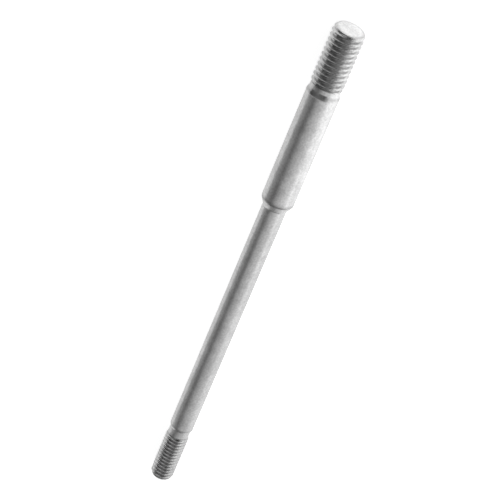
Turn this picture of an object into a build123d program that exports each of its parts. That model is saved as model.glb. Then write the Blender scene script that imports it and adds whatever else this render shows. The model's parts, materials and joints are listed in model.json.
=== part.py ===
from build123d import *
import math
import os

# Stepped double-ended stud bolt, turned from one steel bar: an M8 stud end, a thick
# shank, a bevelled step, a thin shank and an M6 nut end, all on one axis.
# Sizes are in millimetres. Lengths run along the axis, and depths and heights are
# radial. The threaded ends are cylinders at the thread's major diameter.

# M8 stud end: a dished face with a bevelled rim, a chamfer, the thread and its run-out,
# then a neck of bare blank
m8_diameter = 7.9
m8_thread_length = 14.5
m8_runout_length = 0.45
m8_neck_length = 0.85
m8_neck_depth = 0.29
m8_chamfer_length = 0.88
m8_chamfer_depth = 0.26
m8_chamfer_rounding = 1.0
m8_bevel_length = 0.72
m8_bevel_depth = 0.66
m8_bevel_rounding = 0.15
dish_rim_width = 0.43
dish_depth = 0.1

# Thick shank, which starts at the low lip that rolling the thread raised
thick_shank_diameter = 8.0
thick_shank_length = 30.3
lip_foot_length = 0.35
lip_foot_depth = 0.15
lip_length = 0.9
lip_height = 0.07
lip_edge_length = 0.1

# Bevelled step from the thick shank down to the thin one
step_length = 1.8
step_corner_rounding = 1.5
step_root_rounding = 0.6

# Thin shank, bevelled down to the neck of the M6 end
thin_shank_diameter = 6.0
thin_shank_length = 67.1
thin_shank_bevel_length = 0.7
thin_shank_bevel_rounding = 0.5

# M6 nut end: a neck of bare blank, the run-out and the thread, then a chamfer
m6_diameter = 5.9
m6_neck_depth = 0.29
m6_neck_length = 2.0
m6_neck_rounding = 0.3
m6_runout_length = 0.6
m6_thread_length = 13.3
m6_chamfer_length = 1.0
m6_chamfer_depth = 0.6
m6_chamfer_rounding = 0.5

# Stations along the axis, from the M8 end face at 0
m8_chamfer_end = m8_bevel_length + m8_chamfer_length
m8_neck_start = m8_thread_length + m8_runout_length
m8_neck_end = m8_neck_start + m8_neck_length
lip_foot = m8_neck_end + lip_foot_length
lip_top = lip_foot + lip_length
thick_shank_end = m8_neck_end + thick_shank_length
thin_shank_start = thick_shank_end + step_length
thin_shank_end = thin_shank_start + thin_shank_length
m6_neck_start = thin_shank_end + thin_shank_bevel_length
m6_neck_end = m6_neck_start + m6_neck_length
m6_thread_start = m6_neck_end + m6_runout_length
m6_end = m6_thread_start + m6_thread_length
m6_chamfer_start = m6_end - m6_chamfer_length


def outline_corners():
    """Each corner of the turned outline, as its radius, its station and the radius that rounds it."""
    m8_radius = m8_diameter / 2
    m8_bare_radius = m8_radius - m8_neck_depth
    m8_bevel_end_radius = m8_radius - m8_chamfer_depth
    m8_face_radius = m8_bevel_end_radius - m8_bevel_depth
    thick_radius = thick_shank_diameter / 2
    thin_radius = thin_shank_diameter / 2
    m6_radius = m6_diameter / 2
    m6_bare_radius = m6_radius - m6_neck_depth

    return [
        (m8_face_radius, 0, 0),
        (m8_bevel_end_radius, m8_bevel_length, m8_bevel_rounding),
        (m8_radius, m8_chamfer_end, m8_chamfer_rounding),
        (m8_radius, m8_thread_length, 0),
        (m8_bare_radius, m8_neck_start, 0),
        (m8_bare_radius, m8_neck_end, 0),
        (thick_radius - lip_foot_depth, lip_foot, 0),
        (thick_radius + lip_height, lip_top, 0),
        (thick_radius, lip_top + lip_edge_length, 0),
        (thick_radius, thick_shank_end, step_corner_rounding),
        (thin_radius, thin_shank_start, step_root_rounding),
        (thin_radius, thin_shank_end, thin_shank_bevel_rounding),
        (m6_bare_radius, m6_neck_start, m6_neck_rounding),
        (m6_bare_radius, m6_neck_end, m6_neck_rounding),
        (m6_radius, m6_thread_start, 0),
        (m6_radius, m6_chamfer_start, m6_chamfer_rounding),
        (m6_radius - m6_chamfer_depth, m6_end, 0),
    ]


def half_section():
    """The lengthwise section on one side of the axis, as (radius, station)."""
    corners = outline_corners()
    face_radius = corners[0][0]
    dish_rim = (face_radius - dish_rim_width, 0)
    dish = TangentArc((0, dish_depth), dish_rim, tangent=(1, 0))
    turned = FilletPolyline(
        dish_rim,
        *[(radius, station) for radius, station, _ in corners],
        (0, m6_end),
        radius=[rounding for _, _, rounding in corners],
    )
    axis_line = Line((0, m6_end), (0, dish_depth))
    return make_face(dish + turned + axis_line)


def turned_stud():
    """The stud standing on its M8 end, with its axis on Z."""
    return revolve(Plane.XZ * half_section(), Axis.Z)


def rest_tilt(weight_station):
    """Degrees between the axis and the ground, once the stud lies on two of its corners.

    They are the pair, one on each side of its weight, whose line is furthest out there:
    the end of the thick shank and the last full diameter of the M6 end.
    """
    corners = [(radius, station) for radius, station, _ in outline_corners()]
    pairs = [
        (back, front)
        for back in corners
        for front in corners
        if back[1] < weight_station < front[1]
    ]

    def fall(back, front):
        return (back[0] - front[0]) / (front[1] - back[1])

    def reach(pair):
        back, front = pair
        return back[0] - fall(back, front) * (weight_station - back[1])

    return math.degrees(math.atan(fall(*max(pairs, key=reach))))


def laid_to_rest(stud):
    """The stud lying on the ground, M8 end towards -X, with the origin under its middle."""
    lying = Rot(0, 90 + rest_tilt(stud.center().Z), 0) * stud
    box = lying.bounding_box()
    return Pos(-box.center().X, 0, -box.min.Z) * lying


stud_bolt = laid_to_rest(turned_stud())

os.makedirs("parts", exist_ok=True)
export_step(stud_bolt, "parts/stud_bolt.step")
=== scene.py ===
import bisect
import json
import math
from collections.abc import Callable
from dataclasses import dataclass

import bmesh
import bpy
from mathutils import Matrix, Vector


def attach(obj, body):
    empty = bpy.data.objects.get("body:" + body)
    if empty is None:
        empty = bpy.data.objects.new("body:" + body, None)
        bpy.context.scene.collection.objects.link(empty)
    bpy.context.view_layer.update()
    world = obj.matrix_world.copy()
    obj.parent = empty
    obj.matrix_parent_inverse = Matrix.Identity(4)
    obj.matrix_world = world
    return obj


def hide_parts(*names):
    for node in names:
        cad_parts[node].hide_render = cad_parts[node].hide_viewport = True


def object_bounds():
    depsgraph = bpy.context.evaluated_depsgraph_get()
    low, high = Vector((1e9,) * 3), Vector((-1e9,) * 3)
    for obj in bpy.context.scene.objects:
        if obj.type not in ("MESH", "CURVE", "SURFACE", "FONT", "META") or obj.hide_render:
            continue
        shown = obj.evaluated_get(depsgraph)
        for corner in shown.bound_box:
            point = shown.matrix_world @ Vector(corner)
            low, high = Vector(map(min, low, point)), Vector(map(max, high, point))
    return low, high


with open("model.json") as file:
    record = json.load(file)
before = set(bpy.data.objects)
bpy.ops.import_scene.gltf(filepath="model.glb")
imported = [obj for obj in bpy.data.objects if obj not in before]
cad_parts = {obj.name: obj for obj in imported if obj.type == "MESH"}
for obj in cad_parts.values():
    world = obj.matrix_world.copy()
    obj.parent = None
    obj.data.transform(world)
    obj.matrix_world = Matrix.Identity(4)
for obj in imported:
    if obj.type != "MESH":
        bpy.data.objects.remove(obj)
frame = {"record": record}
cad_lo, cad_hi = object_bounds()

# ------------------------------------------------------------ frame
# Stations are in millimetres along the stud's axis from its M8 end face, radii in millimetres,
# and angles about the axis run from the top towards the camera's left.
MM = 0.001

mounts = {m["name"]: m for m in frame["record"]["mounts"]}
m8_end, m6_end = mounts["m8_stud_end"], mounts["m6_nut_end"]
M8_RADIUS = m8_end["dims"]["r_mm"]
M6_RADIUS = m6_end["dims"]["r_mm"]
THICK_RADIUS = mounts["thick_shank"]["dims"]["r_mm"]
THIN_RADIUS = mounts["thin_shank"]["dims"]["r_mm"]

AXIS = (Vector(m6_end["pos_m"]) - Vector(m8_end["pos_m"])).normalized()
LEFT = Vector((0, -1, 0))
UP = LEFT.cross(AXIS)
M8_MOUNT_STATION = 8.122  # the middle of the M8 end's full diameter
M8_FACE = Vector(m8_end["pos_m"]) - AXIS * M8_MOUNT_STATION * MM


def place(x, r, angle):
    """The point at this station, this far from the axis, at this angle about it."""
    outward = UP * math.cos(angle) + LEFT * math.sin(angle)
    return M8_FACE + (AXIS * x + outward * r) * MM


# ------------------------------------------------------------ turned outline
LENGTH = 131.6
M8_NECK_RADIUS = 3.66
M6_NECK_RADIUS = 2.66
LIP_RADIUS = THICK_RADIUS + 0.07

# each corner of the outline: its station, its radius, and the radius that rounds it
OUTLINE_CORNERS = [
    (0.0, 3.03, 0.0),
    (0.72, 3.69, 0.15),
    (1.6, M8_RADIUS, 1.0),
    (14.5, M8_RADIUS, 0.2),
    (14.95, M8_NECK_RADIUS, 0.2),
    (15.9, M8_NECK_RADIUS, 0.05),
    (17.05, LIP_RADIUS, 0.03),
    (17.15, THICK_RADIUS, 0.03),
    (46.1, THICK_RADIUS, 1.5),
    (47.9, THIN_RADIUS, 0.6),
    (115.0, THIN_RADIUS, 0.5),
    (115.7, M6_NECK_RADIUS, 0.3),
    (117.7, M6_NECK_RADIUS, 0.3),
    (118.3, M6_RADIUS, 0.2),
    (130.6, M6_RADIUS, 0.5),
    (LENGTH, 2.35, 0.0),
]
ARC_STEPS = 8

# where the plate is painted darker on the lip and on the ends of both shanks, a painted shade for the dark
# that these rounded edges reflect: the stations at which that begins, is strongest and ends
SHADED_EDGES = [(15.9, 16.5, 17.1), (45.1, 45.8, 46.4), (114.4, 115.1, 115.6)]
EDGE_SHADE = 1.5


def rounded(corners):
    """The outline as (station, radius) points, with an arc at each corner that has a rounding."""
    points = []
    for i, (x, r, rounding) in enumerate(corners):
        here = Vector((x, r))
        if not rounding:
            points.append(here)
            continue
        back = (Vector(corners[i - 1][:2]) - here).normalized()
        ahead = (Vector(corners[i + 1][:2]) - here).normalized()
        half = back.angle(ahead) / 2
        centre = here + (back + ahead).normalized() * (rounding / math.sin(half))
        reach = rounding / math.tan(half)
        start = here + back * reach - centre
        end = here + ahead * reach - centre
        sweep = start.angle_signed(end)
        for k in range(ARC_STEPS + 1):
            turn = -sweep * k / ARC_STEPS
            points.append(centre + Matrix.Rotation(turn, 2) @ start)
    return [(p.x, p.y) for p in points]


OUTLINE = rounded(OUTLINE_CORNERS)
STATIONS = [x for x, _ in OUTLINE]


def outline(x):
    """The turned radius at a station, before the threads are rolled."""
    i = min(max(bisect.bisect_right(STATIONS, x), 1), len(OUTLINE) - 1)
    (x0, r0), (x1, r1) = OUTLINE[i - 1], OUTLINE[i]
    return r0 + (r1 - r0) * min(max((x - x0) / (x1 - x0), 0), 1)


def edge_dullness(x):
    """How much shade is painted at a station on a formed edge."""
    for begin, peak, end in SHADED_EDGES:
        if begin < x < end:
            return EDGE_SHADE * min((x - begin) / (peak - begin), (end - x) / (end - peak))
    return 0.0


# ------------------------------------------------------------ threads
def ramp(x, start, end):
    """0 before the start, 1 after the end, and a smooth rise between them."""
    t = min(max((x - start) / (end - start), 0), 1)
    return t * t * (3 - 2 * t)


@dataclass
class Thread:
    """A right-hand metric thread with 60 degree flanks."""

    radius: float
    blank: float  # radius of the bare bar that it is rolled on
    pitch: float
    crest_round: float  # how far the crest is rounded to each side, in pitches
    dullness: float  # painted shade: how much darker the plate is painted at the bottom of the groove
    crest: float  # station of a crest at angle 0
    start: float
    end: float
    rolled: Callable  # how fully it is rolled at a station, from 0 to 1

    ROOT_ROUND = math.sqrt(3) / 12
    FLANK_END = 1 / 2 - 1 / 8
    # where its vertices lie between a crest and the next root, in pitches
    ROWS = (0, 0.03, 0.06, 0.09, 0.125, 0.2, 0.28, 0.34, 0.375, 0.41, 0.455, 0.5)

    def groove(self, x, angle):
        """How deep the groove is here, in pitches, from 0 on the crest."""
        u = ((x - self.crest) / self.pitch - angle / math.tau) % 1
        u = min(u, 1 - u)
        if u < self.crest_round:
            return u * u * math.sqrt(3) / (2 * self.crest_round)
        if u < self.FLANK_END:
            return (u - self.crest_round / 2) * math.sqrt(3)
        across = 0.5 - u
        return self.root_depth() - self.ROOT_ROUND + math.sqrt(self.ROOT_ROUND**2 - across**2)

    def root_depth(self):
        """Depth of the root below the crest, in pitches."""
        return (self.FLANK_END - self.crest_round / 2) * math.sqrt(3) + self.ROOT_ROUND / 2

    def surface(self, x, angle):
        """Radius, painted shade and how fully it is rolled here. It fades into the bare bar at its
        run-out.
        """
        depth = self.groove(x, angle)
        rolled = self.rolled(x)
        radius = self.blank + (self.radius - depth * self.pitch - self.blank) * rolled
        return radius, self.dullness * depth / self.root_depth() * rolled, rolled

    def rows(self):
        """Stations at angle 0 of the rows of vertices that follow the helix, from end to end."""
        first = math.floor((self.start - self.crest) / self.pitch) - 1
        last = math.ceil((self.end - self.crest) / self.pitch)
        offsets = sorted({*self.ROWS, *(1 - u for u in self.ROWS[1:])})
        return [self.crest + self.pitch * (n + u) for n in range(first, last) for u in offsets]


M8 = Thread(
    radius=M8_RADIUS,
    blank=M8_NECK_RADIUS,
    pitch=1.25,
    crest_round=1 / 8,
    dullness=1.0,
    crest=3.88,
    start=0.0,
    end=15.5,
    rolled=lambda x: ramp(x, 0.5, 1.6) - ramp(x, 14.6, 15.4),
)
M6 = Thread(
    radius=M6_RADIUS,
    blank=M6_NECK_RADIUS,
    pitch=1.0,
    crest_round=0.28,
    dullness=2.0,
    crest=118.42,
    start=116.9,
    end=LENGTH,
    rolled=lambda x: ramp(x, 117.3, 118.3),
)


def surface(x, angle):
    """Radius of the finished stud, how much shade is painted here, and how fully it is rolled, from 0 to
    1.
    """
    radius = outline(x)
    for thread in (M8, M6):
        if thread.start <= x <= thread.end:
            thread_radius, dull, rolled = thread.surface(x, angle)
            return min(radius, thread_radius), dull, rolled
    return radius, edge_dullness(x), 0.0


# ------------------------------------------------------------ end faces
# The M8 end was sheared off a few degrees out of square, furthest in a little to one side of the
# top, and is dished. The M6 end is square and flat.
SHEAR_MIDDLE = 0.34
SHEAR_SLOPE = math.tan(math.radians(6.4))
SHEAR_ANGLE = math.radians(-25)
RIM_PASSES = 12  # enough for the rim's station to settle
DISH_RADIUS = 2.6
DISH_DEPTH = 0.08
DISH_RINGS = 6
M6_FACE_RINGS = (1.5, 0.0)


def sheared(r, angle):
    """Station of the sheared M8 end, before it is dished."""
    return SHEAR_MIDDLE + SHEAR_SLOPE * r * math.cos(angle - SHEAR_ANGLE)


def dished(r, angle):
    """Station of the M8 end face."""
    return sheared(r, angle) + DISH_DEPTH * max(1 - (r / DISH_RADIUS) ** 2, 0)


def face_rim(angle):
    """Station at which the M8 end face meets the turned and threaded skin."""
    x = SHEAR_MIDDLE
    for _ in range(RIM_PASSES):
        x = sheared(surface(x, angle)[0], angle)
    return x


# ------------------------------------------------------------ mesh
COLUMNS = 120
ANGLES = [math.tau * j / COLUMNS for j in range(COLUMNS + 1)]
SAME_POINT = 2e-7  # metres
SHARP_EDGE = math.radians(35)


class StudMesh:
    """The stud's closed mesh, made from rows of vertices that go once round the axis."""

    def __init__(self):
        self.bm = bmesh.new()
        layers = self.bm.verts.layers.float
        # each vertex carries its painted shade, how fully it is rolled, and whether it lies on an end face
        names = ("dull", "rolled", "end_face")
        for name in names:
            layers.new(name)
        self.dull, self.rolled, self.end_face = (layers[name] for name in names)

    def on_skin(self, x, angle):
        radius, dull, rolled = surface(x, angle)
        v = self.bm.verts.new(place(x, radius, angle))
        v[self.dull] = dull
        v[self.rolled] = rolled
        return v

    def on_end(self, x, r, angle):
        v = self.bm.verts.new(place(x, r, angle))
        v[self.end_face] = 1.0
        return v

    def join(self, rows):
        """Faces between each row and the next."""
        for lower, upper in zip(rows, rows[1:]):
            for j in range(COLUMNS):
                self.bm.faces.new((lower[j], lower[j + 1], upper[j + 1], upper[j]))

    def plain(self, start, end):
        """The skin between the threads, with a ring at each point of the outline and of the painted shade
        on the edges.
        """
        rings = {*STATIONS, *(x for edge in SHADED_EDGES for x in edge)}
        stations = [start, *sorted(x for x in rings if start < x < end), end]
        self.join([[self.on_skin(x, a) for a in ANGLES] for x in stations])

    def threaded(self, thread, starts):
        """The skin of a thread, which starts at its own station at each angle."""
        rows = []
        for first in thread.rows():
            row = []
            for angle, start in zip(ANGLES, starts):
                x = first + thread.pitch * angle / math.tau
                row.append(self.on_skin(min(max(x, start), thread.end), angle))
            rows.append(row)
        self.join(rows)

    def m8_face(self, rims):
        rows = [[self.on_skin(x, a) for x, a in zip(rims, ANGLES)]]
        for k in range(DISH_RINGS + 1):
            r = DISH_RADIUS * (DISH_RINGS - k) / DISH_RINGS
            rows.append([self.on_end(dished(r, a), r, a) for a in ANGLES])
        self.join(rows[::-1])

    def m6_face(self):
        rows = [[self.on_skin(LENGTH, a) for a in ANGLES]]
        rows += [[self.on_end(LENGTH, r, a) for a in ANGLES] for r in M6_FACE_RINGS]
        self.join(rows)

    def finished(self):
        """The object, with the rows welded together where they meet."""
        bmesh.ops.remove_doubles(self.bm, verts=self.bm.verts, dist=SAME_POINT)
        bmesh.ops.dissolve_degenerate(self.bm, edges=self.bm.edges, dist=SAME_POINT / 2)
        bmesh.ops.recalc_face_normals(self.bm, faces=self.bm.faces)
        mesh = bpy.data.meshes.new("stud")
        self.bm.to_mesh(mesh)
        self.bm.free()
        mesh.shade_smooth()
        mesh.set_sharp_from_angle(angle=SHARP_EDGE)
        obj = bpy.data.objects.new("stud", mesh)
        bpy.context.collection.objects.link(obj)
        return obj


def build_stud():
    stud_mesh = StudMesh()
    rims = [face_rim(a) for a in ANGLES]
    stud_mesh.threaded(M8, rims)
    stud_mesh.plain(M8.end, M6.start)
    stud_mesh.threaded(M6, [M6.start] * len(ANGLES))
    stud_mesh.m8_face(rims)
    stud_mesh.m6_face()
    return stud_mesh.finished()


# ------------------------------------------------------------ material
class Nodes:
    """A node tree, with short ways to add nodes and feed their inputs."""

    def __init__(self, tree):
        self.tree = tree

    def feed(self, node, inputs):
        """Link each input that is given a socket, and set the others."""
        for key, value in dict(inputs).items():
            if isinstance(value, bpy.types.NodeSocket):
                self.tree.links.new(value, node.inputs[key])
            else:
                node.inputs[key].default_value = value

    def add(self, kind, inputs=(), **settings):
        node = self.tree.nodes.new(kind)
        for key, value in settings.items():
            setattr(node, key, value)
        self.feed(node, inputs)
        return node

    def attribute(self, name):
        return self.add("ShaderNodeAttribute", attribute_name=name).outputs["Fac"]

    def coordinates(self, name):
        return self.add("ShaderNodeTexCoord").outputs[name]

    def math(self, operation, *values):
        return self.add("ShaderNodeMath", enumerate(values), operation=operation).outputs[0]

    def times(self, first, *others):
        for other in others:
            first = self.math("MULTIPLY", first, other)
        return first

    def noise(self, size):
        """Noise between 0 and 1 whose lumps are about this many millimetres across."""
        inputs = {"Vector": self.coordinates("Object"), "Scale": 1 / (size * MM)}
        return self.add("ShaderNodeTexNoise", inputs).outputs["Fac"]

    def spread(self, value, low, high, start=0.0, end=1.0):
        """The value between low and high, mapped smoothly onto start to end."""
        inputs = {"Value": value, "From Min": low, "From Max": high, "To Min": start, "To Max": end}
        return self.add("ShaderNodeMapRange", inputs, interpolation_type="SMOOTHSTEP").outputs["Result"]

    def lumps(self, size, start, end):
        """Noise of this size, spread so that it goes from start to end."""
        return self.spread(self.noise(size), 0.3, 0.7, start, end)


SKIN_BRIGHTNESS = 0.5
# the end faces are painted brighter than the skin, a painted highlight for the light they catch
END_FACE_PAINTED_BRIGHTNESS = 0.75
# how much the painted shade darkens the base colour in the grooves and on the formed edges
SHADE_DEPTH = 0.2
ROLLED_SMOOTHING = 0.11


def zinc():
    """Matt zinc plate: pale, blotchy and grained, smoother where rolled, with shade painted darker in the
    grooves and on the formed edges.
    """
    material = bpy.data.materials.new("matt_zinc")
    material.use_nodes = True
    nodes = Nodes(material.node_tree)
    end_face = nodes.attribute("end_face")
    brightness = nodes.spread(end_face, 0.0, 1.0, SKIN_BRIGHTNESS, END_FACE_PAINTED_BRIGHTNESS)
    # painted shade: the base colour darkens in the grooves and on the formed edges
    dulled = nodes.math("SUBTRACT", 1.0, nodes.times(SHADE_DEPTH, nodes.attribute("dull")))
    blotches = nodes.lumps(3.0, 0.93, 1.07)
    grain = nodes.lumps(0.45, 0.89, 1.11)
    roughness = nodes.lumps(0.6, 0.28, 0.37)
    smoothing = nodes.times(ROLLED_SMOOTHING, nodes.attribute("rolled"))
    relief = {"Height": nodes.noise(0.5), "Strength": 0.15, "Distance": 0.02 * MM}
    bump = nodes.add("ShaderNodeBump", relief)
    nodes.feed(nodes.tree.nodes["Principled BSDF"], {
        "Base Color": nodes.times(brightness, dulled, blotches, grain),
        "Roughness": nodes.math("SUBTRACT", roughness, smoothing),
        "Normal": bump.outputs["Normal"],
        "Metallic": 1.0,
    })
    return material


stud = build_stud()
stud.data.materials.append(zinc())
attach(stud, "root")
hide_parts("stud_bolt")

# ------------------------------------------------------------ floor
FLOOR_REACH = 8.0  # metres from the stud to each side
FLOOR_SHINE = 0.77
RIGHT_SHINE = 0.1  # what the floor right of the stud shines more
HEAD_SHINE = 0.71  # what the floor right of the stud's head shines more than that


def pale_floor():
    """A white floor that shines a little, and more beside the head of the stud, on its right."""
    material = bpy.data.materials.new("pale_floor")
    material.use_nodes = True
    nodes = Nodes(material.node_tree)
    spot = nodes.add("ShaderNodeSeparateXYZ", {"Vector": nodes.coordinates("Object")}).outputs
    on_right = nodes.spread(spot["Y"], 0.0, 0.02)
    beside_head = nodes.spread(spot["X"], 0.0, -0.03)
    right_shine = nodes.math("ADD", RIGHT_SHINE, nodes.times(HEAD_SHINE, beside_head))
    nodes.feed(nodes.tree.nodes["Principled BSDF"], {
        "Base Color": (0.8, 0.8, 0.8, 1),
        "Roughness": 0.9,
        "Specular IOR Level": 0.0,
        "Emission Color": (1, 1, 1, 1),
        "Emission Strength": nodes.math("ADD", FLOOR_SHINE, nodes.times(on_right, right_shine)),
    })
    return material


def make_floor():
    mesh = bpy.data.meshes.new("floor")
    bm = bmesh.new()
    bmesh.ops.create_grid(bm, x_segments=1, y_segments=1, size=FLOOR_REACH)
    bm.to_mesh(mesh)
    bm.free()
    mesh.materials.append(pale_floor())
    obj = bpy.data.objects.new("floor", mesh)
    obj.location.z = cad_lo.z
    bpy.context.collection.objects.link(obj)
    return obj


make_floor()

# ------------------------------------------------------------ light
# Each soft light of the studio: how far it leans along the axis, from -1 beyond the M8 end to 1
# beyond the M6 end, its angle about the axis in degrees, from straight above towards the right, and
# its strength. Each one fades out over about GLOW degrees.
SOFT_LIGHTS = {
    "right_low": (0.23, 76, 2.4),
    "right_high": (0.34, 34, 1.02),
    "top": (0.36, -4, 0.66),
    "head": (-0.68, -37, 1.0),
    "left_low": (0.6, -73, 0.56),
    "far_end": (0.98, 90, 0.56),
}
GLOW = 23
SOFTBOX_DISTANCE = 1.2


def towards(along, around):
    """Direction from the stud that leans this far along the axis, at this angle about it."""
    turn = math.radians(around)
    outward = UP * math.cos(turn) - LEFT * math.sin(turn)
    return AXIS * along + outward * math.sqrt(1 - along * along)


def soft_lights():
    """A dark studio round the stud, with the soft lights in it."""
    world = bpy.data.worlds.new("studio")
    world.use_nodes = True
    nodes = Nodes(world.node_tree)
    sight = nodes.coordinates("Generated")
    glow_width = 1 - math.cos(math.radians(GLOW))
    total = 0.0
    for along, around, strength in SOFT_LIGHTS.values():
        inputs = {0: sight, 1: towards(along, around)}
        facing = nodes.add("ShaderNodeVectorMath", inputs, operation="DOT_PRODUCT").outputs["Value"]
        fading = nodes.math("DIVIDE", nodes.math("SUBTRACT", facing, 1.0), glow_width)
        total = nodes.math("ADD", total, nodes.times(strength, nodes.math("EXPONENT", fading)))
    nodes.feed(nodes.tree.nodes["Background"], {"Color": total})
    bpy.context.scene.world = world


def softbox(name, along, around, length, width, radiance):
    """A rectangle of light that faces the stud, with its length along the axis, in metres."""
    back = towards(along, around)
    across = back.cross(AXIS).normalized()
    light = bpy.data.lights.new(name, "AREA")
    light.shape = "RECTANGLE"
    light.size = length
    light.size_y = width
    light.energy = radiance * math.pi * length * width
    obj = bpy.data.objects.new(name, light)
    turned = Matrix((across.cross(back), across, back)).transposed().to_4x4()
    obj.matrix_world = Matrix.Translation(back * SOFTBOX_DISTANCE) @ turned
    obj.visible_camera = False
    bpy.context.collection.objects.link(obj)


soft_lights()
softbox("right_head", -0.5, 63, length=1.2, width=1.0, radiance=1.0)


# ------------------------------------------------------------ camera
# It looks down on the lying stud from beyond its M8 end.
def along_stud(axis, left, up):
    """A direction or distance given along the stud's own directions."""
    return AXIS * axis + LEFT * left + UP * up


CAMERA_PLACE = M8_FACE + along_stud(-131.51, 0.0, 352.77) * MM
CAMERA_RIGHT = along_stud(-0.34253, -0.91996, -0.19064)
CAMERA_FORWARD = along_stud(0.47929, 0.00342, -0.87765)
CAMERA_UP = CAMERA_RIGHT.cross(CAMERA_FORWARD)

camera_data = bpy.data.cameras.new("camera")
camera_data.sensor_width = 36.0
camera_data.lens = 122.18
camera_data.clip_start = 0.01
camera_data.clip_end = 20.0
camera = bpy.data.objects.new("camera", camera_data)
turned = Matrix((CAMERA_RIGHT, CAMERA_UP, -CAMERA_FORWARD)).transposed().to_4x4()
camera.matrix_world = Matrix.Translation(CAMERA_PLACE) @ turned
bpy.context.collection.objects.link(camera)
bpy.context.scene.camera = camera
bpy.context.scene.view_settings.view_transform = "Standard"
